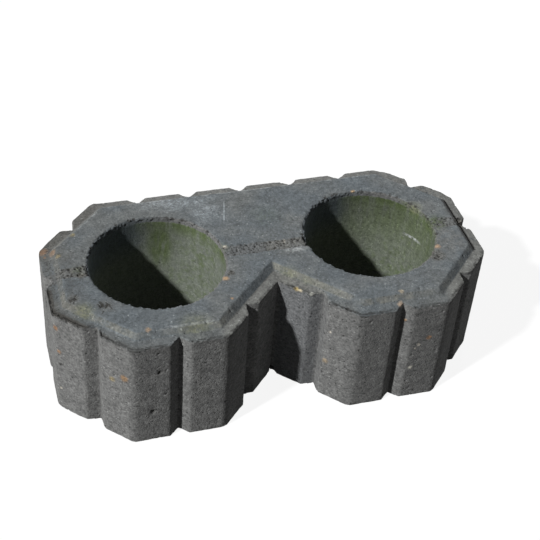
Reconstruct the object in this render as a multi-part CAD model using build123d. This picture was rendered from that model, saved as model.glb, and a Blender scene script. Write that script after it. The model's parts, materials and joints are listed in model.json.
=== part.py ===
from build123d import *
import os
from math import pi, tan

# Double planter block, cast in one piece from dry concrete.
# Two octagonal rings stand side by side and share their middle. The back runs straight
# across both, and in front the rings' slanted faces meet in a V-shaped notch.
# Millimetres. +Z is up, +X runs along the block, and the notch faces -Y. The origin is on
# the floor, midway between the two rings' axes.

# Plan of the rings
face_width = 330.0  # one octagonal ring, from a face to the opposite face
ring_pitch = 330.0  # between the two rings' upright axes
bore_diameter = 200.0  # the planting bore through each ring
corner_radius = 18.0  # upright corners of the octagons
notch_radius = 3.0  # inner corner of the front notch

# Heights
block_height = 200.0  # from the floor to the pressed top
collar_rise = 9.5  # the raised collar above the ledge
ledge_fall = 2.0  # the ledge slopes down this much towards its outer edge

# Ledge and collar, measured inwards from the faces
ledge_width = 15.5
collar_run = 10.0  # the collar's bevel leans in this far
rim_radius = 2.0  # rounded upper edge of each bore

# Upright V grooves between the ribs
groove_mouth = 29.0
groove_depth = 14.0
mouth_radius = 8.0
root_radius = 1.5
back_grooves = 5  # along the straight back, the first and last in line with the bores

# Shallow track across the top, where the mould's core bar kept the tamper off
track_width = 22.0
track_depth = 2.0

# Worked out from the sizes above
half_width = face_width / 2
axis_offset = ring_pitch / 2
block_length = ring_pitch + face_width
ledge_height = block_height - collar_rise
ledge_outer_height = ledge_height - ledge_fall
side_share = tan(pi / 8)  # half of an octagon's side over half of its width
cutter_overlap = 1.0  # a groove's cutter stands this far out of the face


def outline(inset=0.0):
    """Corners of the block's plan, every face moved inwards by inset."""
    reach = half_width - inset
    half_side = reach * side_share
    notch_depth = reach + half_side - axis_offset
    return [
        (-axis_offset - half_side, -reach),
        (-axis_offset + half_side, -reach),
        (0, -notch_depth),
        (axis_offset - half_side, -reach),
        (axis_offset + half_side, -reach),
        (axis_offset + reach, -half_side),
        (axis_offset + reach, half_side),
        (axis_offset + half_side, reach),
        (-axis_offset - half_side, reach),
        (-axis_offset - reach, half_side),
        (-axis_offset - reach, -half_side),
    ]


def plan_face(inset, height):
    """The plan as a flat face at a height."""
    corners = [(x, y, height) for x, y in outline(inset)]
    return make_face(Polyline(*corners, close=True))


def groove_places():
    """Where each groove's mouth is centred, and which way it faces, in degrees."""
    places = []
    for side in (-1, 1):
        ring = Location((side * axis_offset, 0))
        for facing in (-90, -90 - 45 * side, -90 + 45 * side, 90 - 90 * side, 90 - 45 * side):
            places.append(ring * Rot(0, 0, facing) * Pos(half_width, 0))
    spacing = ring_pitch / (back_grooves - 1)
    for number in range(back_grooves):
        places.append(Pos(number * spacing - axis_offset, half_width) * Rot(0, 0, 90))
    return places


def near(vertex, points):
    """True where a vertex of the section lies at one of the points."""
    return any((vertex.center() - Vector(*point)).length < 0.01 for point in points)


def ribbed_section():
    """The mould's section: the plan with its grooves cut and its corners rounded."""
    places = groove_places()
    groove = Polygon(
        (-groove_depth, 0),
        (0, -groove_mouth / 2),
        (cutter_overlap, -groove_mouth / 2),
        (cutter_overlap, groove_mouth / 2),
        (0, groove_mouth / 2),
        align=None,
    )
    section = plan_face(0, 0) - [place * groove for place in places]
    corners = outline()
    notch = [corners[2]]
    corners.remove(corners[2])
    roots = [(place * Pos(-groove_depth, 0)).position for place in places]
    sharp = section.vertices()
    at_corner = [vertex for vertex in sharp if near(vertex, corners)]
    at_notch = [vertex for vertex in sharp if near(vertex, notch)]
    at_root = [vertex for vertex in sharp if near(vertex, roots)]
    at_mouth = [vertex for vertex in sharp if not near(vertex, corners + notch + roots)]
    for vertices, radius in (
        (at_corner, corner_radius),
        (at_notch, notch_radius),
        (at_root, root_radius),
        (at_mouth, mouth_radius),
    ):
        kept = [vertex.center() for vertex in vertices]
        section = fillet([v for v in section.vertices() if near(v, kept)], radius)
    return section


def pressed_envelope():
    """The block without its grooves: walls, sloping ledge and bevelled collar."""
    walls = extrude(plan_face(0, 0), ledge_outer_height)
    ledge = loft([plan_face(0, ledge_outer_height), plan_face(ledge_width, ledge_height)], ruled=True)
    collar = loft(
        [plan_face(ledge_width, ledge_height), plan_face(ledge_width + collar_run, block_height)],
        ruled=True,
    )
    return walls + ledge + collar


def planter_block():
    """The whole casting."""
    block = pressed_envelope() & extrude(ribbed_section(), block_height)
    bores = [Pos(side * axis_offset, 0) for side in (-1, 1)]
    bore = Cylinder(bore_diameter / 2, block_height, align=(Align.CENTER, Align.CENTER, Align.MIN))
    block -= [place * bore for place in bores]
    rims = block.edges().filter_by(GeomType.CIRCLE).group_by(Axis.Z)[-1]
    block = fillet(rims, rim_radius)
    track = Box(block_length, track_width, track_depth, align=(Align.CENTER, Align.CENTER, Align.MAX))
    return block - Pos(0, 0, block_height) * track


os.makedirs("parts", exist_ok=True)
block = planter_block()
block.label = "planter_block"
export_step(block, "parts/planter_block.step")
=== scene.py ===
import json
import math
from functools import reduce
from itertools import product

import bpy
import numpy as np
from mathutils import Matrix, Vector
from mathutils.kdtree import KDTree


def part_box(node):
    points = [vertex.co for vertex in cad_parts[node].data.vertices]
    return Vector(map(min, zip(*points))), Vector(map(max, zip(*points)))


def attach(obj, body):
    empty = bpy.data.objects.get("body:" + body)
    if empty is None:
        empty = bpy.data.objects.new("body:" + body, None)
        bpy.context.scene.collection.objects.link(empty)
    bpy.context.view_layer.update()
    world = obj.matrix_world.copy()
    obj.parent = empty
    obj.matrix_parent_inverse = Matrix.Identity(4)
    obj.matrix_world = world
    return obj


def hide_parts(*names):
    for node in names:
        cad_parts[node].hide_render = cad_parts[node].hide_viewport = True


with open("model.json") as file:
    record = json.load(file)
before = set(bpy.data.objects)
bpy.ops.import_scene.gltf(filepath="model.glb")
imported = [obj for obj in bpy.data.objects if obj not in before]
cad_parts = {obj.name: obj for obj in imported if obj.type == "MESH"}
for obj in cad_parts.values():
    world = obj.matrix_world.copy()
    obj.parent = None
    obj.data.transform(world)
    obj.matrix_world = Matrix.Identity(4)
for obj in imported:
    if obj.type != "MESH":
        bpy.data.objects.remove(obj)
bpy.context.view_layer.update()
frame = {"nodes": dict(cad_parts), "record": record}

# The look of a double planter block of dry-cast concrete that has stood outdoors.
# Metres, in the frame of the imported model: +Z is up and the notch faces -Y.
# The casting is the CAD solid's own shape, carved with the chips, pores, burrs and open
# grain of the real surface, and painted with one procedural concrete.

NODE = "planter_block"
low, high = (np.array(corner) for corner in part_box(NODE))
mounts = {mount["name"]: mount for mount in frame["record"]["mounts"]}
bore_axes = [np.array(mounts[name]["pos_m"]) for name in ("left_bore", "right_bore")]
bore_radius = mounts["left_bore"]["dims"]["r_mm"] / 1000
ring_offset = bore_axes[1][0]  # from the block's middle to a ring's axis

# The pressed top
TOP = high[2]
LEDGE_INNER = TOP - 0.0095
LEDGE_OUTER = TOP - 0.0115
LEDGE_WIDTH = 0.0155
COLLAR_EDGE = 0.0255  # from the outline to the collar's upper edge
RIM_BAND = 0.008  # crumbly upper part of each bore's wall
TRACK_HALF = 0.011  # half the width of the core-bar track
TRACK_LOWEST = LEDGE_OUTER - 0.002

# The casting's mesh
VOXEL = 0.0013
TRIANGLES = 192000
FINE_BAND = 0.016  # the upper part of the casting keeps smaller triangles
FINE_PREFERENCE = 0.00003

# The lattice that the carved noise is made on
LATTICE_TILT = np.array(Matrix.Rotation(0.7, 3, Vector((1, 2, 3))))  # off the block's own axes
HASH_CELL = (73856093, 19349663, 83492791)
HASH_SEED = 668265263
HASH_MIX = 1274126177

# Depths of the carving
FULL_RIDGE = 0.0009  # a sharp edge's height over its blurred surroundings
EVEN_DEPTH = 0.0004  # taken off everywhere, so that the waves stay inside the solid
WAVE_DEPTH = 0.0005
SIDE_GRAIN = 0.00022
TOP_GRAIN = 0.00013
BORE_GRAIN = 0.00016
RIGHT_SWELL = 0.0034  # the ledge's rise at each back corner
LEFT_SWELL = 0.0024
FOOT_GAP = 0.0022
FIN_HEIGHT = 0.0018
FIN_CREVICE = 0.0016

# Scattered small marks
PORES = 1500
RIM_PITS = 90  # along each bore
EDGE_PITS = 110  # along the ledge's front edge

# Chips that the photo shows: place, radius of the scoop, depth and how dark it is inside
CHIPS = (
    ((-0.2575, -0.079, 0.2), 0.01, 0.001, 0.0),
    ((-0.2594, -0.076, 0.199), 0.0022, 0.0026, 0.6),
    ((-0.252, -0.078, 0.199), 0.002, 0.0022, 0.5),
    ((-0.296, -0.057, 0.2), 0.008, 0.0009, 0.0),
    ((-0.2937, -0.0583, 0.199), 0.0022, 0.0026, 0.8),
    ((-0.301, -0.06, 0.199), 0.002, 0.002, 0.5),
    ((0.2647, -0.0235, 0.2), 0.003, 0.0026, 0.85),
    ((0.2475, -0.076, 0.2), 0.0026, 0.002, 0.65),
    ((0.243, -0.07, 0.2), 0.0022, 0.0018, 0.6),
    ((0.242, -0.079, 0.2), 0.0028, 0.002, 0.6),
    ((0.2455, -0.083, 0.2), 0.002, 0.0016, 0.6),
    ((-0.064, -0.045, 0.2), 0.0022, 0.0018, 0.6),
    ((-0.069, -0.05, 0.2), 0.0018, 0.0016, 0.6),
    ((-0.2662, -0.007, 0.198), 0.0055, 0.0045, 0.35),
    ((-0.265, 0.003, 0.198), 0.0085, 0.0034, 0.1),
    ((0.064, -0.006, 0.198), 0.007, 0.004, 0.1),
    ((0.0645, 0.004, 0.198), 0.009, 0.0034, 0.1),
    ((0.314, 0.009, 0.19), 0.0036, 0.0036, 0.9),
    ((0.312, -0.006, 0.192), 0.004, 0.0036, 0.9),
    ((0.32, 0.013, 0.19), 0.0034, 0.003, 0.8),
    ((-0.1955, -0.165, 0.138), 0.005, 0.002, 0.35),
    ((-0.204, -0.165, 0.06), 0.007, 0.0022, 0.3),
    ((-0.322, -0.076, 0.093), 0.004, 0.0018, 0.3),
    ((0.0817, -0.1464, 0.1888), 0.0036, 0.002, 0.5),
    ((0.0, -0.0684, 0.0), 0.0085, 0.006, 0.0),
    ((0.0, -0.0684, 0.008), 0.0055, 0.004, 0.0),
    ((0.0, -0.0684, 0.012), 0.003, 0.0022, 0.0),
)
CHIP_SEED = 60

# Colours, linear
PRESSED = (0.114, 0.13, 0.14)
PRESSED_WARM = (0.134, 0.143, 0.143)
BEVEL_WARM = (0.158, 0.156, 0.135)
NOTCH_WARM = (0.154, 0.156, 0.138)
LEDGE_WARM = (0.15, 0.152, 0.145)
LEDGE_PALE = (0.184, 0.188, 0.178)
GRANULAR = (0.18, 0.181, 0.177)
GRANULAR_DARK = (0.144, 0.145, 0.142)
GRANULAR_BLUE = (0.136, 0.14, 0.143)
BORE_WALL = (0.15, 0.165, 0.14)
BORE_WALL_RIGHT = (0.128, 0.142, 0.116)
BORE_SHADE = (0.1, 0.123, 0.146)
MOSS = (0.074, 0.102, 0.036)
LIME = (0.33, 0.365, 0.385)
GRIME_AND_SHADE = (0.034, 0.033, 0.03)
BLACK_DIRT_AND_SHADE = (0.02, 0.02, 0.019)
OLIVE = (0.158, 0.164, 0.098)
DUST_AND_SHADE = (0.066, 0.061, 0.053)
BROKEN = (0.165, 0.154, 0.132)
CHALK_AND_HIGHLIGHT = (0.46, 0.48, 0.48)
TAN = (0.36, 0.2, 0.1)
PALE = (0.44, 0.41, 0.35)
RUST = (0.27, 0.15, 0.08)

# Thin moss on the pressed top: middle, radius and strength
OLIVE_PATCHES = (
    ((-0.286, -0.082, 0.195), 0.023, 0.85),
    ((0.016, -0.062, 0.193), 0.022, 0.55),
    ((0.037, -0.083, 0.191), 0.016, 0.35),
    ((-0.14, -0.144, 0.194), 0.036, 0.62),
    ((0.2545, 0.045, 0.196), 0.02, 0.7),
)
MOSS_PATCHES = (
    ((-0.28, 0.003, 0.198), 0.016, 0.45),
    ((0.274, 0.002, 0.198), 0.026, 0.75),
    ((-0.062, 0.01, 0.2), 0.016, 0.35),
    ((0.018, 0.07, 0.2), 0.035, 0.22),
)

# Chipped places that are cracked and brown inside: middle, radius and strength
CRACKED = (
    ((-0.256, -0.08, TOP), 0.015, 0.45),
    ((-0.2965, -0.0568, TOP), 0.011, 0.45),
    ((0.246, -0.0715, TOP), 0.0165, 0.9),
    ((-0.066, -0.0475, TOP), 0.007, 0.8),
    ((-0.278, -0.009, 0.198), 0.008, 1.0),
    ((0.315, 0.003, 0.19), 0.013, 1.0),
)

# Short black cracks in the chips at the left front: ends and half the width
CRACKS = (
    ((-0.2611, -0.0707), (-0.2577, -0.0813), 0.0019),
    ((-0.265, -0.0747), (-0.2616, -0.0817), 0.0012),
    ((-0.2556, -0.085), (-0.2517, -0.079), 0.0015),
    ((-0.2517, -0.079), (-0.2523, -0.074), 0.0015),
    ((-0.2501, -0.0779), (-0.2473, -0.0883), 0.0009),
    ((-0.2624, -0.0948), (-0.2591, -0.0893), 0.0009),
    ((-0.2945, -0.0575), (-0.2928, -0.059), 0.0024),
    ((-0.3018, -0.0572), (-0.2997, -0.0618), 0.0016),
    ((-0.2948, -0.0551), (-0.2902, -0.048), 0.0009),
    ((-0.2976, -0.0652), (-0.297, -0.064), 0.0009),
    ((-0.2961, -0.0431), (-0.295, -0.0425), 0.0009),
)

# Stones that show in the surface: place, radius and colour
STONES = (
    ((0.0211, -0.0895, 0.1883), 0.0042, (0.52, 0.4, 0.16)),
    ((0.0255, -0.0935, 0.188), 0.0036, (0.58, 0.5, 0.34)),
    ((0.04, -0.1052, 0.1887), 0.0032, (0.6, 0.6, 0.54)),
    ((0.063, -0.1314, 0.0721), 0.0048, (0.38, 0.3, 0.2)),
    ((0.0645, -0.1328, 0.1336), 0.0024, PALE),
    ((0.2095, -0.165, 0.1231), 0.0042, TAN),
    ((0.188, -0.165, 0.0643), 0.0034, (0.6, 0.58, 0.5)),
    ((0.195, -0.165, 0.111), 0.0028, PALE),
    ((0.1905, -0.165, 0.104), 0.0026, PALE),
    ((0.16, -0.1537, 0.1899), 0.0048, (0.44, 0.34, 0.25)),
    ((0.1652, -0.138, 0.2), 0.0038, (0.42, 0.36, 0.26)),
    ((-0.2065, -0.138, 0.2), 0.004, (0.32, 0.23, 0.15)),
    ((-0.2442, -0.1541, 0.1262), 0.006, (0.32, 0.19, 0.09)),
    ((-0.2588, -0.1396, 0.1146), 0.0048, (0.28, 0.23, 0.13)),
    ((-0.3261, -0.0723, 0.1643), 0.0048, RUST),
    ((-0.3234, -0.075, 0.1186), 0.0036, (0.3, 0.18, 0.1)),
    ((-0.3245, -0.0739, 0.0429), 0.0026, PALE),
    ((-0.3245, 0.066, 0.189), 0.0085, RUST),
    ((-0.3107, 0.0545, 0.1941), 0.0062, (0.26, 0.17, 0.11)),
    ((-0.3043, 0.04, 0.2), 0.0046, (0.27, 0.22, 0.12)),
    ((-0.2766, 0.0837, 0.2), 0.0046, (0.27, 0.23, 0.12)),
    ((-0.28, 0.113, 0.1885), 0.004, TAN),
    ((-0.322, 0.052, 0.189), 0.0022, RUST),
    ((0.2549, -0.0523, 0.2), 0.0052, (0.36, 0.24, 0.15)),
    ((0.1726, 0.1025, 0.2), 0.0032, (0.46, 0.32, 0.18)),
    ((-0.0783, -0.1011, 0.2), 0.0026, (0.42, 0.26, 0.14)),
    ((-0.0602, 0.0112, 0.1985), 0.003, PALE),
    ((-0.0766, -0.0585, 0.2), 0.0046, (0.38, 0.25, 0.14)),
    ((0.0306, 0.0076, 0.198), 0.0026, PALE),
    ((0.1699, -0.1558, 0.1581), 0.0026, (0.44, 0.28, 0.16)),
)

# Ends of the pale scratch in the right bore
SCRATCH = (Vector((0.2429, 0.0626, 0.1383)), Vector((0.2645, 0.0093, 0.1448)))

SHAKE = 0.0048  # how far ragged outlines wander, always towards +X, +Y and +Z
UNSHAKE = Vector((SHAKE / 2,) * 3)  # the middle of that
SHAKE_SCALE = 320.0
ROUGHNESS = 0.92
SPECULAR = 0.25
RELIEF_HEIGHT = 0.0012

# The camera, solved from the block's corners in the photo
CAMERA_LENS = 79.82
CAMERA_PLACE = Vector((-0.43289, -1.30216, 1.34742))
CAMERA_AIM = (71.237, -41.04)  # azimuth anticlockwise from +X, and elevation, degrees
CAMERA_ROLL = 4.57

# Floor and light: where each lamp stands, its strength, and its width in degrees
FLOOR_TONE = 0.12
FLOOR_GLOW = 0.9
FLOOR_HALF = 8.0
KEY_FROM = (204.3, 39.9)
KEY_STRENGTH = 4.4
KEY_SPREAD = 3.0
BACK_FROM = (64.0, 12.0)
BACK_STRENGTH = 1.4
BACK_SPREAD = 10.0
FILL_STRENGTH = 0.042


def hashed(cell, seed):
    """Numbers from 0 to 1 that depend only on the lattice cell and the seed."""
    mixed = (cell * HASH_CELL).sum(-1) + seed * HASH_SEED
    for shift in (15, 13, 16):
        mixed = ((mixed ^ (mixed >> shift)) * HASH_MIX) & 0xFFFFFFFF
    return (mixed >> 8) / 0xFFFFFF


def noise(points, size, octaves, seed):
    """Smooth noise from -1 to 1, with details of this size and finer octaves."""
    place = points / size
    total = np.zeros(len(points))
    strength = 1.0
    for octave in range(octaves):
        place = place @ LATTICE_TILT
        cell = np.floor(place).astype(np.int64)
        part = place - cell
        part = part * part * (3 - 2 * part)
        for corner in product((0, 1), repeat=3):
            weight = np.where(corner, part, 1 - part).prod(axis=1)
            total += strength * weight * (2 * hashed(cell + corner, seed + octave) - 1)
        place = place * 2
        strength /= 2
    return total / (2 - 2 * strength)


def grains(points, size, seed):
    """Distance to the nearest grain's middle and the next one, and that grain's number."""
    place = points / size
    home = np.floor(place).astype(np.int64)
    nearest = np.full(len(points), 9.0)
    second = nearest.copy()
    number = np.zeros(len(points))
    for shift in product((-1, 0, 1), repeat=3):
        cell = home + shift
        jitter = np.stack([hashed(cell, seed + axis) for axis in range(3)], axis=1)
        distance = np.linalg.norm(cell + jitter - place, axis=1)
        closer = distance < nearest
        second = np.where(closer, nearest, np.minimum(second, distance))
        number = np.where(closer, hashed(cell, seed + 3), number)
        nearest = np.minimum(nearest, distance)
    return nearest, second, number


def ramp(value, start, end):
    """0 at start, 1 at end and smooth between."""
    part = np.clip((value - start) / (end - start), 0, 1)
    return part * part * (3 - 2 * part)


def place_tree(places):
    """The places as a tree that finds those nearby."""
    tree = KDTree(len(places))
    for number, place in enumerate(places):
        tree.insert(place, number)
    tree.balance()
    return tree


def added(name, data):
    """A new object in the scene."""
    made = bpy.data.objects.new(name, data)
    bpy.context.scene.collection.objects.link(made)
    return made


def fetched(items, name, width, kind=np.float64):
    """A property of a mesh's items as rows of numbers."""
    found = np.empty(len(items) * width, dtype=kind)
    items.foreach_get(name, found)
    return found.reshape(-1, width)


class Casting:
    """The block's surface as points that are moved, with their edges, and their grime and painted
    shade.
    """

    def __init__(self, mesh):
        self.mesh = mesh
        self.points = fetched(mesh.vertices, "co", 3)
        self.edges = fetched(mesh.edges, "vertices", 2, np.int32)
        self.count = len(self.points)
        self.degree = np.bincount(self.edges.ravel(), minlength=self.count)
        self.grime_and_shade = np.zeros(self.count)

    def blur(self, values, rounds):
        """Each value averaged with its neighbours'."""
        first, last = self.edges.T
        for _ in range(rounds):
            columns = [
                np.bincount(first, column[last], self.count)
                + np.bincount(last, column[first], self.count)
                for column in values.T
            ]
            values = (values + np.stack(columns, axis=1) / self.degree[:, None]) / 2
        return values

    def normals(self, rounds=0):
        """Outward directions, blurred so that they turn slowly round edges."""
        self.store()
        found = self.blur(fetched(self.mesh.vertices, "normal", 3), rounds)
        return found / np.linalg.norm(found, axis=1, keepdims=True)

    def store(self):
        """Writes the points to the mesh, kept within the CAD solid's box."""
        self.points = np.clip(self.points, low, high)
        self.mesh.vertices.foreach_set("co", self.points.ravel())
        self.mesh.update()

    def sink(self, normals, depth, near=slice(None)):
        """Pushes points inwards."""
        self.points[near] -= normals[near] * depth[:, None]

    def soil_and_shade(self, dark, near=slice(None)):
        """Makes points at least this dark: grime, and painted shade in recesses."""
        self.grime_and_shade[near] = np.maximum(self.grime_and_shade[near], dark)


def voxel_mesh():
    """The CAD solid's shape as an even mesh, fine enough to carve."""
    source = added("voxel_source", frame["nodes"][NODE].data.copy())
    remesh = source.modifiers.new("voxels", "REMESH")
    remesh.mode = "VOXEL"
    remesh.voxel_size = VOXEL
    graph = bpy.context.evaluated_depsgraph_get()
    mesh = bpy.data.meshes.new_from_object(source.evaluated_get(graph))
    bpy.data.objects.remove(source)
    return mesh


def from_axis(points):
    """Distance from the nearer bore's axis."""
    x, y, _ = points.T
    return np.minimum(*(np.hypot(x - axis[0], y - axis[1]) for axis in bore_axes))


def from_outline(points):
    """Distance inwards from the block's outline, as if it had no grooves."""
    x, y, _ = points.T
    x = np.abs(x) - ring_offset
    diagonal = np.maximum(x + y, np.abs(x) - y) / math.sqrt(2)
    return high[1] - np.maximum(np.maximum(x, np.abs(y)), diagonal)


def zones(points):
    """How far each point belongs to the pressed top, the bores and the granular sides."""
    in_bore = ramp(from_axis(points), bore_radius + 0.001, bore_radius)
    pressed = ramp(points[:, 2], LEDGE_OUTER - 0.001, LEDGE_OUTER) * (1 - in_bore)
    return pressed, in_bore, (1 - pressed) * (1 - in_bore)


def scoop(cast, normals, among, place, radius, depth, seed):
    """One chip: what lies inside a rough ball is pushed back to the ball's surface."""
    distance = np.linalg.norm(cast.points[among] - place, axis=1)
    closest = among[distance.argmin()]
    near = among[distance < distance.min() + radius * 2]
    middle = cast.points[closest] + normals[closest] * (radius - depth)
    arm = cast.points[near] - middle
    length = np.linalg.norm(arm, axis=1)
    rough = radius * (1 + 0.4 * noise(cast.points[near], radius * 0.45, 2, seed))
    pushed = np.maximum(length, rough)
    cast.points[near] = middle + arm * (pushed / np.maximum(length, 1e-6))[:, None]
    return near[pushed > length]


def carve_edges(cast, normals):
    """Outer edges rubbed round and chipped here and there."""
    ridge = ((cast.points - cast.blur(cast.points, 6)) * normals).sum(axis=1)
    edge = np.clip(ridge / FULL_RIDGE, 0, 1)
    near = np.flatnonzero(edge > 0.02)
    points = cast.points[near]
    crumbs = noise(points, 0.0045, 2, seed=21)
    chips = ramp(noise(points, 0.014, 2, seed=25), 0.1, 0.6)
    cast.sink(normals, edge[near] * (0.0001 + 0.0007 * crumbs + 0.0015 * chips), near)


def raise_burrs(cast, normals):
    """A thin ragged fin along the ledge's outer edge at the left end, crumbs elsewhere."""
    points = cast.points
    z, facing_up = points[:, 2], normals[:, 2]
    level = (z > LEDGE_OUTER - 0.003) & (z < LEDGE_OUTER + 0.003)
    flat = level & (facing_up > 0.96)
    brink = level & (facing_up > 0.25) & (facing_up < 0.85) & (z < LEDGE_OUTER + 0.0005)
    tree = place_tree(points[brink])
    ledge = np.flatnonzero(flat | brink)
    x, y = points[ledge, 0], points[ledge, 1]
    flat_places = points[ledge] * (1, 1, 0)
    reach = np.array([tree.find(place)[2] for place in points[ledge]])
    reach += 0.001 * noise(flat_places, 0.005, 2, seed=53)
    at_left = ramp(-x, 0.225, 0.3) * ramp(y, -0.012, -0.02)
    at_front = ramp(y, -0.05, -0.09)
    patches = ramp(noise(flat_places, 0.008, 2, seed=51) + 0.3 * at_left, -0.12, 0.25)
    ragged = 1 + 0.8 * noise(flat_places, 0.0035, 2, seed=55)
    crest = ramp(reach, 0.002, 0.0006)
    crevice = np.exp(-((reach - 0.0028) / 0.0011) ** 2)
    fin = (0.12 + 0.18 * at_front + 0.7 * at_left) * patches
    cast.points[ledge, 2] += fin * ragged * (FIN_HEIGHT * crest - FIN_CREVICE * crevice)
    # The ledge's outer band and the crevice inside the fin are painted darker: the fin's shadow,
    # with dirt.
    band = ramp(reach, 0.0095, 0.006) * ramp(reach, 0.0008, 0.0022)
    blotchy = 0.85 + 0.35 * noise(flat_places, 0.006, 3, seed=57)
    dark = at_left * (0.4 * band * blotchy + 0.3 * patches * crevice)
    dark += 0.35 * at_front * patches * crevice
    cast.soil_and_shade(np.clip(dark, 0, 1), ledge)
    return ledge[(reach < 0.0016) & (y < -0.05)]


def carve_edge_pits(cast, normals, brink):
    """Crumbs broken out of the ledge's outer edge along the front."""
    random = np.random.default_rng(5)
    for centre in random.choice(brink, EDGE_PITS, replace=False):
        size = random.uniform(0.0012, 0.0026)
        near = scoop(cast, normals, brink, cast.points[centre], size, 0.7 * size, 300)
        # The pits are painted dark inside: dirt and painted shade.
        cast.soil_and_shade(0.55, near)


def swell_ledge(cast):
    """The ledge stands higher round the back corners, where the mould was full."""
    x, y, z = cast.points.T
    outer = ramp(from_outline(cast.points), 0.014, 0.003)
    outer = outer * ramp(z, TOP - 0.03, LEDGE_OUTER - 0.002)
    right = ramp(x, 0.234, 0.258) * ramp(y, 0.058, 0.085)
    left = ramp(-x, 0.215, 0.245) * ramp(y, 0.06, 0.1)
    cast.points[:, 2] += outer * (RIGHT_SWELL * right + LEFT_SWELL * left)


def carve_foot(cast):
    """A dark gap at the collar's foot along the right end."""
    x, y, z = cast.points.T
    wander = 0.0008 * noise(cast.points, 0.008, 2, seed=71)
    across = (from_outline(cast.points) - LEDGE_WIDTH + 0.0002 + wander) / 0.0018
    gap = np.exp(-across ** 2) * ramp(x, 0.29, 0.3) * ramp(np.abs(y), 0.066, 0.058)
    gap *= z > LEDGE_OUTER - 0.001
    cast.points[:, 2] -= FOOT_GAP * gap
    # The gap is painted dark too: painted shade with dirt.
    cast.soil_and_shade(gap)


def carve_track(cast, normals):
    """The rough strip where the core bar kept the tamper off."""
    on_track = np.abs(cast.points[:, 1]) < TRACK_HALF + 0.004
    near = np.flatnonzero(on_track & (cast.points[:, 2] > TRACK_LOWEST))
    points = cast.points[near]
    wobble = 0.002 * noise(points, 0.01, 2, seed=31)
    across = np.abs(points[:, 1]) + wobble
    inside = ramp(across, TRACK_HALF + 0.0016, TRACK_HALF - 0.001)
    nearest, second, number = grains(points, 0.004, seed=33)
    crevice = ramp(second - nearest, 0.26, 0.04)
    hole = ramp(nearest, 0.58, 0.16) * (number > 0.52)
    lump = noise(points, 0.007, 3, seed=37)
    depth = inside * (0.0007 * crevice + 0.003 * hole + 0.0012 * lump - 0.0006)
    cast.sink(normals, depth, near)
    # Holes and crevices are painted dark: dirt and painted shade.
    cast.soil_and_shade(inside * (0.2 * crevice + 0.85 * hole), near)


def carve_rims(cast, normals):
    """The bores' upper edges, crumbly where the cores were pulled."""
    radius = from_axis(cast.points)
    drop = TOP - cast.points[:, 2]
    near = np.flatnonzero((radius < bore_radius + 0.009) & (drop < RIM_BAND + 0.003))
    points, radius, drop = cast.points[near], radius[near], drop[near]
    near_rim = ramp(np.hypot(radius - bore_radius, drop), 0.0055, 0.0015)
    band = ramp(drop, RIM_BAND + 0.002, RIM_BAND - 0.002)
    band = band * ramp(radius, bore_radius + 0.003, bore_radius + 0.001)
    nearest, _, number = grains(points, 0.0046, seed=41)
    hole = ramp(nearest, 0.62, 0.22) * (number > 0.6)
    ragged = noise(points, 0.0034, 2, seed=45)
    depth = near_rim * (0.0006 + 0.0021 * ragged)
    depth += band * (0.0004 + 0.0008 * ragged + 0.0014 * hole)
    cast.sink(normals, np.maximum(depth, -0.0004), near)
    # The holes in the band are painted dark: dirt and painted shade.
    cast.soil_and_shade(0.6 * hole * band, near)


def carve_rim_pits(cast, normals):
    """Small pits along the bores' upper edges, the larger and darker ones at the back."""
    random = np.random.default_rng(3)
    rim = (from_axis(cast.points) < bore_radius + 0.01) & (cast.points[:, 2] > TOP - 0.01)
    rim = np.flatnonzero(rim)
    for axis in bore_axes:
        for angle in random.uniform(-math.pi, math.pi, RIM_PITS):
            size = random.uniform(0.0013, 0.0022)
            out = bore_radius + random.uniform(0.0, 0.0035)
            at_back = random.random() < 0.3 * max(math.sin(angle), 0)
            if at_back:
                size += 0.0008
                out += 0.001
            place = (axis[0] + out * math.cos(angle), axis[1] + out * math.sin(angle), TOP)
            near = scoop(cast, normals, rim, place, size, 0.8 * size, 200)
            # The pits at the back are painted dark inside: dirt and painted shade.
            cast.soil_and_shade(0.8 * at_back, near)


def carve_unevenness(cast, normals):
    """Faces that are a little wavy, and open grain on the sides."""
    points = cast.points
    pressed, in_bore, side = zones(points)
    side = side * ramp(points[:, 2], 0.0005, 0.004)
    wave = noise(points, 0.06, 2, seed=1)
    grain = noise(points, 0.0048, 2, seed=9)
    depth = EVEN_DEPTH + WAVE_DEPTH * wave
    depth += grain * (SIDE_GRAIN * side + TOP_GRAIN * pressed + BORE_GRAIN * in_bore)
    cast.sink(normals, depth)


def carve_pores(cast, normals):
    """Scattered pores, more on the granular sides than on the pressed top."""
    random = np.random.default_rng(7)
    pressed, in_bore, side = zones(cast.points)
    weight = side + 0.6 * pressed + 0.25 * in_bore
    chosen = random.choice(cast.count, PORES, replace=False, p=weight / weight.sum())
    tree = place_tree(cast.points)
    depth = np.zeros(cast.count)
    for centre in chosen:
        size = random.uniform(0.0011, 0.0024) * random.uniform(0.7, 1.0)
        for _, number, distance in tree.find_range(cast.points[centre], size):
            depth[number] = max(depth[number], 0.7 * size * (1 - (distance / size) ** 2))
    cast.sink(normals, depth)


def carve(cast):
    """All the carving, from the worn edges to the pores."""
    raw_normals = cast.normals()
    normals = cast.normals(4)
    carve_edges(cast, normals)
    brink = raise_burrs(cast, raw_normals)
    carve_edge_pits(cast, normals, brink)
    swell_ledge(cast)
    carve_foot(cast)
    carve_track(cast, normals)
    carve_rims(cast, normals)
    carve_rim_pits(cast, normals)
    carve_unevenness(cast, normals)
    everywhere = np.arange(cast.count)
    # Each chip is painted dark inside by its last number: dirt and painted shade.
    for seed, (place, radius, depth, dark) in enumerate(CHIPS, CHIP_SEED):
        cast.soil_and_shade(dark, scoop(cast, normals, everywhere, place, radius, depth, seed))
    carve_pores(cast, normals)


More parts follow.
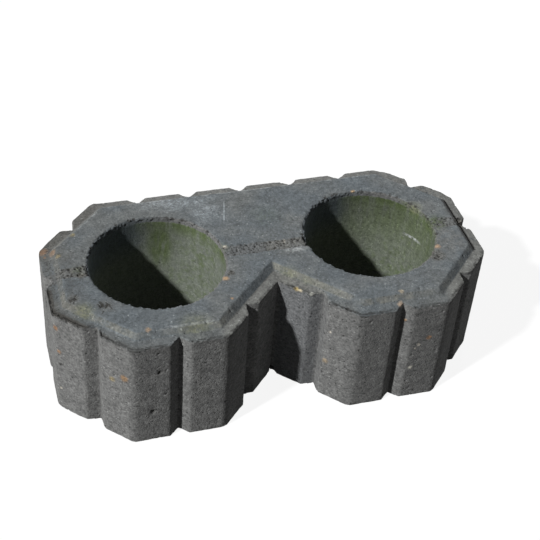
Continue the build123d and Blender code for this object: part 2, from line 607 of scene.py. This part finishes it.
def keep_marks(cast):
    """Writes how hollow, in millimetres, and how dark with grime and painted shade each point is,
    for the paint.
    """
    normals = cast.normals(2)
    hollow = ((cast.blur(cast.points, 10) - cast.points) * normals).sum(axis=1) * 1000
    for name, values in (("hollow", np.clip(hollow, -2, 2)), ("grime_and_shade", cast.grime_and_shade)):
        layer = cast.mesh.attributes.new(name, "FLOAT", "POINT")
        layer.data.foreach_set("value", values)


def thin_out(piece, fine):
    """Merges triangles, the fewest of them where the casting is fine."""
    full = piece.data
    group = piece.vertex_groups.new(name="coarse")
    group.add(np.flatnonzero(~fine).tolist(), 1.0, "REPLACE")
    group.add(np.flatnonzero(fine).tolist(), 0.5, "REPLACE")
    thin = piece.modifiers.new("thin", "DECIMATE")
    thin.ratio = TRIANGLES / (2 * len(full.polygons))
    thin.vertex_group = group.name
    thin.vertex_group_factor = FINE_PREFERENCE
    graph = bpy.context.evaluated_depsgraph_get()
    piece.data = bpy.data.meshes.new_from_object(piece.evaluated_get(graph))
    piece.modifiers.clear()
    piece.data.name = piece.name
    bpy.data.meshes.remove(full)


def build_casting():
    """The finished casting, which stands for the CAD solid."""
    cast = Casting(voxel_mesh())
    carve(cast)
    keep_marks(cast)
    piece = added("planter_block_cast", cast.mesh)
    thin_out(piece, cast.points[:, 2] > TOP - FINE_BAND)
    for vertex in piece.data.vertices:
        vertex.co = np.clip(vertex.co, low, high)
    for polygon in piece.data.polygons:
        polygon.use_smooth = True
    return piece


class Painter:
    """Short forms for the nodes of a material or a world."""

    def __init__(self, owner):
        self.owner = owner
        owner.use_nodes = True
        self.tree = owner.node_tree
        self.tree.nodes.clear()

    def node(self, kind, inputs=(), **settings):
        """A node with its settings, and its inputs set or linked."""
        made = self.tree.nodes.new("ShaderNode" + kind)
        for key, value in settings.items():
            setattr(made, key, value)
        for key, value in dict(inputs).items():
            if isinstance(value, bpy.types.NodeSocket):
                self.tree.links.new(value, made.inputs[key])
            else:
                made.inputs[key].default_value = value
        return made

    def math(self, operation, *values):
        """One operation on numbers."""
        return self.node("Math", enumerate(values), operation=operation).outputs[0]

    def plus(self, first, second):
        return self.math("ADD", first, second)

    def minus(self, first, second):
        return self.math("SUBTRACT", first, second)

    def times(self, *factors):
        return reduce(lambda total, factor: self.math("MULTIPLY", total, factor), factors)

    def most(self, *values):
        """The highest of the values."""
        return reduce(lambda total, value: self.math("MAXIMUM", total, value), values)

    def scaled(self, value, factor, offset):
        """value * factor + offset"""
        return self.math("MULTIPLY_ADD", value, factor, offset)

    def away(self, value, level=None):
        """How far a value is from a level, or else from 0."""
        return self.math("ABSOLUTE", value if level is None else self.minus(value, level))

    def span(self, value, start, end, first=0.0, last=1.0):
        """Maps start..end to first..last, smoothly and clamped."""
        ends = {"From Min": start, "From Max": end, "To Min": first, "To Max": last}
        made = self.node("MapRange", ends | {"Value": value}, interpolation_type="SMOOTHSTEP")
        return made.outputs[0]

    def vector(self, operation, first, second, output="Vector"):
        """One operation on two vectors."""
        made = self.node("VectorMath", {0: first, 1: second}, operation=operation)
        return made.outputs[output]

    def mix(self, factor, first, second, blend="MIX"):
        """Mixes two colours."""
        colours = [(*c, 1) if isinstance(c, tuple) else c for c in (first, second)]
        inputs = {0: factor, 6: colours[0], 7: colours[1]}
        return self.node("Mix", inputs, data_type="RGBA", blend_type=blend).outputs[2]

    def shade(self, colour, value):
        """A colour multiplied by a number."""
        grey = self.node("CombineColor", {0: value, 1: value, 2: value}).outputs[0]
        return self.mix(1.0, colour, grey, "MULTIPLY")


class ConcretePainter(Painter):
    """Dry-cast concrete: pressed blue-grey top, open-grained warm sides, mossy bores.

    First come measures and masks that the layers share. Each layer then takes the colour
    so far and gives the next one."""

    def __init__(self):
        super().__init__(bpy.data.materials.new("dry_cast_concrete"))
        self.place = self.node("TexCoord").outputs["Object"]
        self.x, self.y, self.z = self.node("SeparateXYZ", {0: self.place}).outputs
        self.share_noise()
        self.find_zones()
        self.find_dirt_and_shade()
        self.find_grain()

    def share_noise(self):
        """Slow, middling and fine changes, streaks down the walls, and a shaken place."""
        self.blotch = self.noise(0.018, 4, 0.6)
        self.patchy = self.noise(0.01, 4, 0.7)
        self.cloudy = self.noise(0.007, 6, 0.85)
        self.mottle = self.noise(0.006, 3, 0.65)
        self.wobble = self.scaled(self.mottle, 0.006, -0.003)
        self.drawn_out = self.vector("MULTIPLY", self.place, (1.0, 1.0, 0.22))
        shake = {"Vector": self.place, "Scale": SHAKE_SCALE, "Detail": 2.0}
        shake = self.node("TexNoise", shake).outputs["Color"]
        shake = self.vector("MULTIPLY", shake, (SHAKE,) * 3)
        self.shaken = self.vector("ADD", self.place, shake)

    def find_zones(self):
        """Where things are on the block."""
        ring = self.times(self.math("SIGN", self.x), ring_offset)
        self.from_ring = self.minus(self.x, ring)
        outwards = self.minus(self.away(self.x), ring_offset)
        squares = (self.times(part, part) for part in (self.from_ring, self.y))
        radius = self.math("SQRT", self.plus(*squares))
        self.bore = self.span(radius, bore_radius + 0.004, bore_radius + 0.0022)
        diagonal = self.most(self.plus(outwards, self.y), self.minus(self.away(outwards), self.y))
        widest = self.most(outwards, self.away(self.y), self.times(diagonal, math.sqrt(0.5)))
        self.inset = self.minus(high[1], widest)
        self.height = self.plus(self.z, self.wobble)
        self.pressed = self.span(self.height, LEDGE_OUTER - 0.0025, LEDGE_OUTER - 0.0005)
        self.top = self.times(self.pressed, self.minus(1.0, self.bore))
        self.ledge = self.span(self.inset, 0.0175, 0.015)
        self.bevel = self.times(
            self.span(self.z, TOP - 0.001, TOP - 0.003),
            self.span(self.z, LEDGE_INNER, LEDGE_INNER + 0.002),
        )
        off_track = self.plus(self.away(self.y), self.wobble)
        on_track = self.span(off_track, TRACK_HALF + 0.001, TRACK_HALF - 0.001)
        self.track = self.times(self.top, on_track)
        self.at_right = self.each_half(0.0, 1.0)

    def find_dirt_and_shade(self):
        """Where the ledge carries dirt and painted shade, with an uneven distance from the
        outline.
        """
        self.brink = self.plus(self.inset, self.times(self.wobble, 0.8))
        self.left_end = self.span(self.x, -0.225, -0.3)
        self.before_track = self.span(self.y, -0.012, -0.022)
        self.left_front = self.times(self.left_end, self.before_track)
        self.left_back = self.within(x=(-0.2, -0.24), y=(0.04, 0.07))

    def find_grain(self):
        """Sand grains and open pores, which give both colour and relief."""
        self.from_grain, self.grain_tone, _, _ = self.cells(0.0026)
        distance, _, _, number = self.cells(0.006)
        self.pore = self.times(
            self.span(distance, 0.26, 0.12),
            self.span(number, 0.7, 0.72),
            self.scaled(self.bore, -0.5, 1.0),
        )

    def spot(self, middle, inner, outer, place=None):
        """1 within the inner radius of a point, 0 outside the outer one."""
        distance = self.vector("DISTANCE", place or self.place, middle, "Value")
        return self.span(distance, outer, inner)

    def noise(self, size, detail, roughness=0.5, place=None):
        inputs = {"Vector": place or self.place, "Detail": detail, "Roughness": roughness}
        return self.node("TexNoise", inputs | {"Scale": 1 / size}).outputs["Fac"]

    def cells(self, size):
        """Distance to the middle of a cell, and the cell's three random numbers."""
        made = self.node("TexVoronoi", {"Vector": self.place, "Scale": 1 / size}).outputs
        return made["Distance"], *self.node("SeparateColor", {0: made["Color"]}).outputs

    def within(self, **ranges):
        """The product of masks, each over a range of the measure that it names."""
        spans = (self.span(getattr(self, name), *ends) for name, ends in ranges.items())
        return self.times(*spans)

    def each_half(self, left, right):
        """One value on the block's left half and another on its right half."""
        return self.span(self.x, -0.01, 0.01, left, right)

    def oval(self, middle, inner, outer, factors):
        """A spot that is narrower along each axis by the axis's factor."""
        place = self.vector("MULTIPLY", self.place, factors)
        middle = [part * factor for part, factor in zip(middle, factors)]
        return self.spot(middle, inner, outer, place)

    def ragged_spot(self, middle, inner, outer):
        return self.spot(Vector(middle) + UNSHAKE, inner, outer, self.shaken)

    def stroke(self, first, last, width):
        """1 on a short ragged line on the pressed top, from one plan place to another."""
        first, last = (Vector((*end, TOP)) + UNSHAKE for end in (first, last))
        middle, along = (first + last) / 2, (last - first).normalized()
        half = (last - first).length / 2
        out = self.vector("SUBTRACT", self.shaken, middle)
        run = self.vector("DOT_PRODUCT", out, along, "Value")
        across = self.vector("DOT_PRODUCT", out, Vector((-along.y, along.x, 0)), "Value")
        return self.times(
            self.span(self.away(run), half + width, half),
            self.span(self.away(across), width * 1.5, width * 0.5),
        )

    def top_colour(self):
        """The pressed top, with its warmer and paler parts."""
        x, y = self.x, self.y
        cloud = self.noise(0.07, 3)
        colour = self.mix(self.span(cloud, 0.35, 0.68), PRESSED, PRESSED_WARM)

        # The bevel is warm in patches, fewer of them at the right and round the left bore
        at_corner = self.span(x, -0.2, -0.235, 0.0, 0.95)
        warm_bevel = self.times(
            self.bevel, self.within(blotch=(0.3, 0.64), x=(0.15, 0.22, 1.0, 0.35)),
            self.most(self.span(x, -0.06, -0.12), self.at_right),
            self.most(self.span(x, -0.1, -0.15, 1.0, 0.55), at_corner), 0.75,
        )
        colour = self.mix(warm_bevel, colour, BEVEL_WARM)
        by_notch = self.within(x=(0.09, 0.06), blotch=(0.25, 0.6, 0.6, 1.0))
        notch_bevel = self.times(self.bevel, self.span(x, -0.002, 0.002), by_notch)
        colour = self.mix(notch_bevel, colour, NOTCH_WARM)

        # The ledge is warm at the back, at the right end and beside the notch
        far_ledge = self.most(self.span(y, 0.03, 0.08), self.span(x, 0.27, 0.31))
        far_ledge = self.times(self.ledge, far_ledge, self.span(self.mottle, 0.2, 0.5))
        colour = self.mix(far_ledge, colour, LEDGE_WARM)
        by_notch = self.times(self.span(self.away(x), 0.066, 0.056), self.span(y, 0.0, -0.04))
        in_front = self.within(y=(-0.09, -0.13), x=(-0.05, 0.05, 0.4, 0.05))
        near_ledge = self.times(self.ledge, self.most(in_front, by_notch))
        colour = self.mix(near_ledge, colour, LEDGE_WARM)

        # It is pale left of the notch and on the right ring's right diagonal
        pale_left = self.within(x=(-0.11, -0.095), y=(-0.02, -0.05))
        pale_left = self.times(pale_left, self.span(x, 0.0, -0.006))
        pale_right = self.within(x=(0.228, 0.245), y=(-0.035, -0.06))
        pale_ledge = self.times(self.ledge, self.most(pale_left, pale_right))
        colour = self.mix(pale_ledge, colour, LEDGE_PALE)
        faded = self.spot((0.274, -0.035, TOP), 0.015, 0.06)
        faded = self.times(faded, self.span(self.patchy, 0.35, 0.6), 0.6)
        return self.mix(faded, colour, LEDGE_WARM)

    def side_colour(self):
        """The granular sides, a little darker at the right, with painted shade on the front
        faces.
        """
        colour = self.mix(self.span(self.blotch, 0.35, 0.72), GRANULAR, GRANULAR_DARK)
        # Painted shade: the front faces are darker, as under light that falls at a slant.
        darker = self.within(x=(-0.02, 0.06, 1.0, 0.92), y=(-0.15, -0.162, 1.0, 0.87))
        colour = self.shade(colour, darker)
        first_rib = self.times(self.span(self.x, 0.0, 0.006), self.span(self.x, 0.062, 0.052))
        return self.mix(first_rib, colour, GRANULAR_BLUE)

    def bore_colour(self):
        """The bores' walls, with painted bluish shade high on the left walls, and the band below
        the rim.
        """
        colour = self.mix(self.at_right, BORE_WALL, BORE_WALL_RIGHT)
        # Painted shade: each bore's left wall is bluer and darker high up, near the shadow's
        # edge.
        cool_shade = self.times(self.within(from_ring=(0.012, -0.024), z=(0.115, 0.17)), 0.8)
        colour = self.mix(cool_shade, colour, BORE_SHADE)
        band = self.span(self.height, TOP - RIM_BAND - 0.001, TOP - RIM_BAND + 0.001)
        band_colour = self.mix(self.span(self.from_ring, -0.03, 0.05), PRESSED, GRANULAR_DARK)
        return self.mix(band, colour, band_colour)

    def moss(self, colour):
        """Moss in the bores, densest just under the crumbly band at the back and right."""
        across = self.times(self.from_ring, 0.8 / bore_radius)
        facing = self.plus(across, self.times(self.y, 0.6 / bore_radius))
        streaks = self.noise(0.01, 4, 0.6, self.drawn_out)
        under_band = self.span(self.height, TOP - RIM_BAND + 0.0005, TOP - RIM_BAND - 0.0015)
        at_rim = self.times(self.within(x=(0.235, 0.25), height=(TOP, TOP - 0.003)), 0.8)
        high_up = self.span(self.z, TOP - 0.045, TOP - 0.01)
        lower_down = self.times(self.span(self.z, TOP - 0.15, TOP - 0.03), self.at_right, 0.7)
        dense = self.times(self.span(facing, 0.25, 0.85), self.span(streaks, 0.2, 0.6))
        dense = self.times(self.most(high_up, lower_down), dense)
        left_patch = self.oval((-0.141, 0.096, 0.146), 0.008, 0.029, (1.0, 1.0, 0.45))
        left_patch = self.times(left_patch, self.span(streaks, 0.18, 0.55))
        thin = self.within(
            patchy=(0.34, 0.72), blotch=(0.3, 0.6, 0.35, 1.25),
            from_ring=(0.0, bore_radius, 0.25, 0.7),
        )
        moss = self.most(dense, left_patch, thin)
        moss = self.times(self.bore, self.most(under_band, at_rim), moss, 0.9)
        grainy = self.span(self.mottle, 0.35, 0.6)
        for middle, size, strength in MOSS_PATCHES:
            patch = self.times(self.spot(middle, 0.0, size), grainy, strength)
            moss = self.most(moss, patch)
        return self.mix(moss, colour, MOSS)

    def painted_back_shade(self, colour):
        """Painted shade: the backs of the bores are darker high up."""
        painted_back_shade = self.times(
            self.bore, self.within(z=(0.115, 0.185), y=(0.02, 0.08)),
            self.most(self.at_right, self.span(self.from_ring, 0.07, 0.04)), 0.3,
        )
        return self.shade(colour, self.minus(1.0, painted_back_shade))

    def thin_moss(self, colour):
        """Olive patches on the pressed top, weaker on the ledge."""
        where = self.within(inset=(0.014, 0.0165, 0.25, 1.0), mottle=(0.3, 0.6, 0.3, 1.0))
        where = self.times(where, self.pressed)
        for middle, size, strength in OLIVE_PATCHES:
            patch = self.times(self.spot(middle, 0.0, size), where, strength)
            colour = self.mix(patch, colour, OLIVE)
        return colour

    def lime(self, colour):
        """Lime bloom on the back of the top, and pale and dark flecks all over it."""
        streak = self.oval((-0.105, 0.128, TOP), 0.012, 0.085, (1.0, 3.2, 1.0))
        patch = self.spot((-0.066, 0.097, TOP), 0.008, 0.036)
        haze = self.most(streak, self.times(patch, 0.8))
        bloom = self.times(haze, self.span(self.cloudy, 0.44, 0.6, 0.14, 0.74), self.top)
        off_line = self.away(self.plus(self.x, self.scaled(self.y, -0.25, 0.0645)))
        line = self.spot((-0.0415, 0.091, TOP), 0.014, 0.034)
        line = self.times(line, self.span(off_line, 0.0016, 0.0006), 0.65)
        colour = self.mix(self.most(bloom, line), colour, LIME)
        distance, _, fleck_number, speck_number = self.cells(0.0062)
        chosen = self.most(self.span(fleck_number, 0.88, 0.9), self.times(haze, 0.8))
        fleck = self.times(self.span(distance, 0.24, 0.1), chosen, self.top, 0.38)
        colour = self.mix(fleck, colour, CHALK_AND_HIGHLIGHT)
        chosen = self.span(speck_number, 0.8, 0.82)
        speck = self.times(self.span(distance, 0.34, 0.12), chosen, self.top, 0.45)
        return self.mix(speck, colour, GRIME_AND_SHADE)

    def clouds(self, colour):
        """The top is a little lighter and darker in clouds."""
        clouds = self.scaled(self.minus(self.blotch, 0.5), 0.9, 1.0)
        clouds = self.plus(clouds, self.times(self.minus(self.patchy, 0.5), 0.25))
        return self.mix(self.top, colour, self.shade(colour, clouds))

    def rubbed_and_highlit(self, colour):
        """Chalky marks and painted highlights: a highlit arris with wear beside the track, a
        scratch in the right bore, and painted highlights with chalky wear along the collar's
        edge.
        """
        # Painted highlight with wear on the arris beside the track
        worn_and_highlit = self.times(
            self.oval((0.045, -0.0135, TOP), 0.006, 0.026, (1.0, 2.4, 1.0)),
            self.within(y=(0.001 - TRACK_HALF, -0.001 - TRACK_HALF), cloudy=(0.36, 0.58)), 0.75,
        )
        first, last = SCRATCH
        middle = (first + last) / 2
        outwards = middle - Vector((*bore_axes[1][:2], middle.z))
        slant = (last - first).cross(outwards).normalized()
        out = self.vector("SUBTRACT", self.place, middle)
        across = self.vector("DOT_PRODUCT", out, slant, "Value")
        scratch = self.times(
            self.span(self.away(self.plus(across, self.wobble)), 0.0036, 0.0008),
            self.spot(middle, 0.006, 0.026), self.span(self.mottle, 0.3, 0.5), 0.7,
        )
        # Painted highlights along the collar's upper edge, with chalky wear
        off_edge = self.away(self.inset, COLLAR_EDGE)
        back_edge_highlight = self.times(
            self.span(off_edge, 0.0034, 0.0008), self.within(y=(0.08, 0.12), blotch=(0.42, 0.58)),
            self.top, 0.35,
        )
        front_edge_highlight = self.times(
            self.span(off_edge, 0.0028, 0.0006), self.spot((-0.15, -0.1395, TOP), 0.03, 0.046),
            self.span(self.mottle, 0.3, 0.6), 0.28,
        )
        for mark in (worn_and_highlit, scratch, back_edge_highlight, front_edge_highlight):
            colour = self.mix(mark, colour, CHALK_AND_HIGHLIGHT)
        return colour

    def stones(self, colour):
        """Stones that show in the surface."""
        grainy = self.span(self.mottle, 0.2, 0.6, 0.3, 0.85)
        for middle, size, stone_colour in STONES:
            stone = self.ragged_spot(middle, size * 0.4, size * 1.45)
            colour = self.mix(self.times(stone, grainy), colour, stone_colour)
        return colour

    def dusty_shaded_ledge(self, colour):
        """Brown dust and painted shade on the ledge round the left end, where the fin's shadow
        falls.
        """
        to_corner = self.times(self.span(self.x, -0.205, -0.245), self.before_track, 0.35)
        outer_part = self.most(self.times(self.left_front, 0.85), to_corner)
        end_band = self.within(brink=(0.016, 0.011), blotch=(0.35, 0.6))
        dust_and_shade = self.most(
            self.times(self.span(self.brink, 0.01, 0.006), outer_part),
            self.times(self.left_end, end_band, 0.5),
            self.times(self.within(x=(-0.255, -0.3), patchy=(0.3, 0.6)), 0.32),
            self.times(self.ledge, self.left_back, 0.42),
        )
        return self.mix(self.times(dust_and_shade, self.pressed), colour, DUST_AND_SHADE)

    def black_dirt_and_shade(self, colour):
        """Black painted shadow with dirt: inside the ledge's outer edge, where the fin's shadow
        falls, and over the collar's foot at the right end; black dirt and shade in the track's
        pits.
        """
        off_line = self.away(self.brink, 0.0026)
        # Painted shadow of the fin, with dirt, along the ledge's outer edge
        broken_shadow_line = self.times(
            self.span(off_line, 0.003, 0.0014), self.span(self.patchy, 0.42, 0.52),
            self.most(self.left_front, self.span(self.y, -0.05, -0.09, 0.0, 0.55)),
        )
        whole_line = self.times(
            self.span(off_line, 0.0024, 0.001),
            self.within(x=(0.062, 0.068), y=(-0.09, -0.11), mottle=(0.25, 0.45, 0.45, 1.0)),
            self.span(self.x, 0.13, 0.095, 0.25, 0.7),
        )
        back_shadow_line = self.times(self.span(self.brink, 0.003, 0.0012), self.left_back, 0.8)
        # Painted shade over the right end's unlit bevel, with dirt in the gap at its foot
        foot = self.times(
            self.within(brink=(0.0122, 0.0138), x=(0.29, 0.3)),
            self.span(self.brink, 0.024, 0.019, 0.5, 1.0), self.span(self.brink, 0.027, 0.025),
            self.span(self.away(self.y), 0.066, 0.058), 0.9,
        )
        distance, number, _, _ = self.cells(0.0036)
        pitted = self.most(self.track, self.span(self.x, -0.296, -0.31, 0.0, 0.8))
        pit = self.times(self.span(distance, 0.42, 0.24), self.span(number, 0.58, 0.6))
        black = self.times(
            self.most(broken_shadow_line, whole_line, back_shadow_line, foot, self.times(pit, pitted, 0.8)),
            self.span(self.height, LEDGE_OUTER - 0.0055, LEDGE_OUTER - 0.0035), 0.95,
        )
        return self.mix(black, colour, BLACK_DIRT_AND_SHADE)

    def cracks(self, colour):
        """Cracked and brown insides of the chips."""
        cells = {"Vector": self.shaken, "Scale": 1 / 0.0052}
        cells = self.node("TexVoronoi", cells, feature="DISTANCE_TO_EDGE").outputs["Distance"]
        crack = self.times(self.span(cells, 0.11, 0.03), self.span(self.patchy, 0.38, 0.5), 0.95)
        for middle, size, strength in CRACKED:
            chipped = self.ragged_spot(middle, size * 0.35, size * 1.1)
            colour = self.mix(self.times(chipped, 0.55 * strength), colour, BROKEN)
            colour = self.mix(self.times(chipped, crack, strength), colour, GRIME_AND_SHADE)
        for first, last, width in CRACKS:
            black = self.times(self.stroke(first, last, width), self.top, 0.9)
            colour = self.mix(black, colour, GRIME_AND_SHADE)
        return colour

    def grit(self, colour):
        """Sand grains, open pores and mottling, weaker on the pressed top and in the bores."""
        quartz = self.within(grain_tone=(0.955, 0.965), from_grain=(0.4, 0.2))
        grit = self.scaled(self.mottle, 1.2, -0.6)
        grit = self.plus(self.scaled(self.grain_tone, 0.5, -0.25), grit)
        grit = self.minus(grit, self.times(self.pore, 0.55))
        grit = self.plus(grit, self.times(quartz, 0.8))
        smoother = self.times(self.bore, self.each_half(0.4, 0.2))
        rough = self.minus(self.scaled(self.top, -0.2, 1.0), smoother)
        return self.shade(colour, self.scaled(grit, rough, 1.0))

    def pulled_streaks(self, colour):
        """Streaks down the bores' walls, where the cores were pulled."""
        streaks = self.minus(self.noise(0.0026, 2, 0.6, self.drawn_out), 0.5)
        streaks = self.times(self.bore, self.each_half(0.38, 0.5), streaks)
        return self.shade(colour, self.plus(streaks, 1.0))

    def hollow_dirt_and_shade(self, colour):
        """Dirt and painted shade where the surface is hollow, wear and painted highlight on the
        edges, and the grime and painted shade kept with the mesh.
        """
        hollow, grime_and_shade = (
            self.node("Attribute", attribute_name=name).outputs["Fac"]
            for name in ("hollow", "grime_and_shade")
        )
        dark, worn_and_highlit = (0.15, 1.1, 1.0, 0.4), (-0.15, -0.9, 1.0, 1.14)
        # Hollows are painted darker as dirt and shade, ridges lighter as wear and highlight
        dirt_shade_wear_highlight = self.times(self.span(hollow, *dark), self.span(hollow, *worn_and_highlit))
        return self.mix(self.times(grime_and_shade, 0.9), self.shade(colour, dirt_shade_wear_highlight), GRIME_AND_SHADE)

    def fine_relief(self):
        """Bump for the sand and the pores, weaker on the pressed top and in the bores."""
        sand = self.noise(0.0018, 3, 0.6)
        relief = self.minus(sand, self.times(self.from_grain, 0.6))
        relief = self.minus(relief, self.times(self.pore, 1.2))
        strength = self.minus(self.scaled(self.top, -0.2, 0.6), self.times(self.bore, 0.25))
        inputs = {"Height": relief, "Strength": strength, "Distance": RELIEF_HEIGHT}
        return self.node("Bump", inputs).outputs[0]


def concrete():
    """The casting's material, painted layer by layer."""
    paint = ConcretePainter()
    colour = paint.mix(paint.pressed, paint.side_colour(), paint.top_colour())
    colour = paint.mix(paint.times(paint.track, 0.6), colour, GRANULAR_DARK)
    colour = paint.mix(paint.bore, colour, paint.bore_colour())
    for layer in (
        paint.moss, paint.painted_back_shade, paint.thin_moss, paint.lime, paint.clouds, paint.rubbed_and_highlit,
        paint.stones, paint.dusty_shaded_ledge, paint.black_dirt_and_shade, paint.cracks, paint.grit,
        paint.pulled_streaks, paint.hollow_dirt_and_shade,
    ):
        colour = layer(colour)
    look = {"Base Color": colour, "Roughness": ROUGHNESS, "Specular IOR Level": SPECULAR}
    shader = paint.node("BsdfPrincipled", look | {"Normal": paint.fine_relief()})
    paint.node("OutputMaterial", {0: shader.outputs[0]})
    return paint.owner


def direction(azimuth, elevation):
    """The way to an azimuth, anticlockwise from +X, and an elevation, both in degrees."""
    azimuth, elevation = math.radians(azimuth), math.radians(elevation)
    level = math.cos(elevation)
    return Vector((math.cos(azimuth) * level, math.sin(azimuth) * level, math.sin(elevation)))


def camera():
    """The camera where the photo's was."""
    data = bpy.data.cameras.new("photo_camera")
    data.sensor_width = 36.0
    data.lens = CAMERA_LENS
    data.clip_start = 0.01
    made = added("photo_camera", data)
    turn = direction(*CAMERA_AIM).to_track_quat("-Z", "Y").to_matrix()
    turn = turn @ Matrix.Rotation(math.radians(CAMERA_ROLL), 3, "Z")
    made.matrix_world = Matrix.Translation(CAMERA_PLACE) @ turn.to_4x4()
    bpy.context.scene.camera = made


def seen(paint):
    """1 for what the camera, reflections and clear things see, 0 for light on the block."""
    path = paint.node("LightPath").outputs
    return paint.most(path["Is Camera Ray"], path["Is Glossy Ray"], path["Is Transmission Ray"])


def floor():
    """A pale floor that stays white but keeps the block's shadow."""
    paint = Painter(bpy.data.materials.new("pale_floor"))
    matte = paint.node("BsdfDiffuse", {"Color": (FLOOR_TONE, FLOOR_TONE, FLOOR_TONE, 1)})
    glow = paint.node("Emission", {"Strength": paint.times(seen(paint), FLOOR_GLOW)})
    both = paint.node("AddShader", {0: matte.outputs[0], 1: glow.outputs[0]})
    paint.node("OutputMaterial", {0: both.outputs[0]})
    mesh = bpy.data.meshes.new("floor")
    signs = ((-1, -1), (1, -1), (1, 1), (-1, 1))
    corners = [(side * FLOOR_HALF, end * FLOOR_HALF, low[2]) for side, end in signs]
    mesh.from_pydata(corners, [], [(0, 1, 2, 3)])
    mesh.materials.append(paint.owner)
    added("floor", mesh)


def sun(name, source, strength, spread):
    """A distant lamp, from an azimuth and elevation in degrees."""
    data = bpy.data.lights.new(name, "SUN")
    data.energy = strength
    data.angle = math.radians(spread)
    made = added(name, data)
    made.rotation_euler = direction(*source).to_track_quat("Z", "Y").to_euler()


def lights():
    """A key light from the photo's side, a weak broad one from behind, and an even fill."""
    sun("key", KEY_FROM, KEY_STRENGTH, KEY_SPREAD)
    sun("back", BACK_FROM, BACK_STRENGTH, BACK_SPREAD)
    world = bpy.data.worlds.new("studio")
    bpy.context.scene.world = world
    paint = Painter(world)
    level = paint.node("MapRange", {"Value": seen(paint), "To Min": FILL_STRENGTH, "To Max": 1.0})
    white = {"Color": (1, 1, 1, 1), "Strength": level.outputs[0]}
    background = paint.node("Background", white)
    paint.node("OutputWorld", {0: background.outputs[0]})


block = build_casting()
block.data.materials.clear()
block.data.materials.append(concrete())
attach(block, "root")
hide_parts(NODE)
camera()
floor()
lights()
bpy.context.scene.view_settings.view_transform = "Standard"
